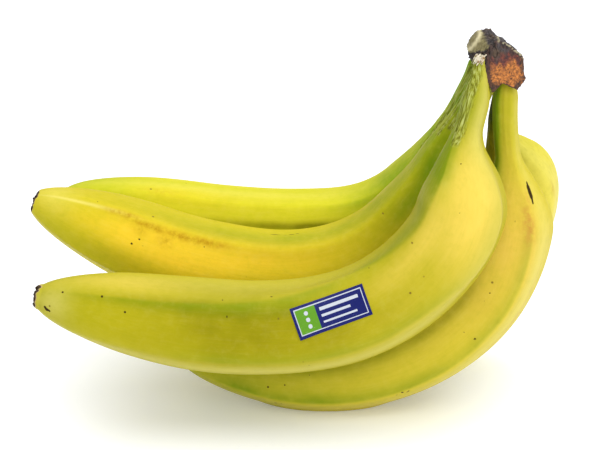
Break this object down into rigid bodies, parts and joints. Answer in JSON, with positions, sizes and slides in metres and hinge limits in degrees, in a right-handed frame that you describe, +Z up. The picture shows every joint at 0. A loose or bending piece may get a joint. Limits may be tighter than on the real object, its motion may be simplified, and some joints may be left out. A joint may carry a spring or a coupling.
{
  "type": "bunch of bananas",
  "caption": "Small cluster of bananas on one crown, lying on its lower fruits with the crown raised and the tips level, and a blank-text fruit label on the front fruit.",
  "frame": {"origin": "on the floor, under the middle of the bounding box", "axes": "+Z up, +X towards the crown, the fingertips point to -X, -Y is the labelled front"},
  "size_m": [0.1994, 0.1101, 0.1442],
  "materials": {
    "peel_front": "waxy banana peel, yellow with green edges",
    "peel_middle": "waxy banana peel, yellow with a green underside",
    "peel_back": "waxy banana peel, yellow-green",
    "peel_lower_front": "waxy banana peel, golden yellow with green edges",
    "peel_lower_back": "waxy banana peel, yellow-green",
    "crown": "dried cut plant tissue, rough",
    "label": null
  },
  "bodies": {
    "root": {"finger_front": "peel_front", "finger_middle": "peel_middle", "finger_back": "peel_back", "finger_lower_front": "peel_lower_front", "finger_lower_back": "peel_lower_back", "crown": "crown", "label": "label"}
  },
  "joints": []
}
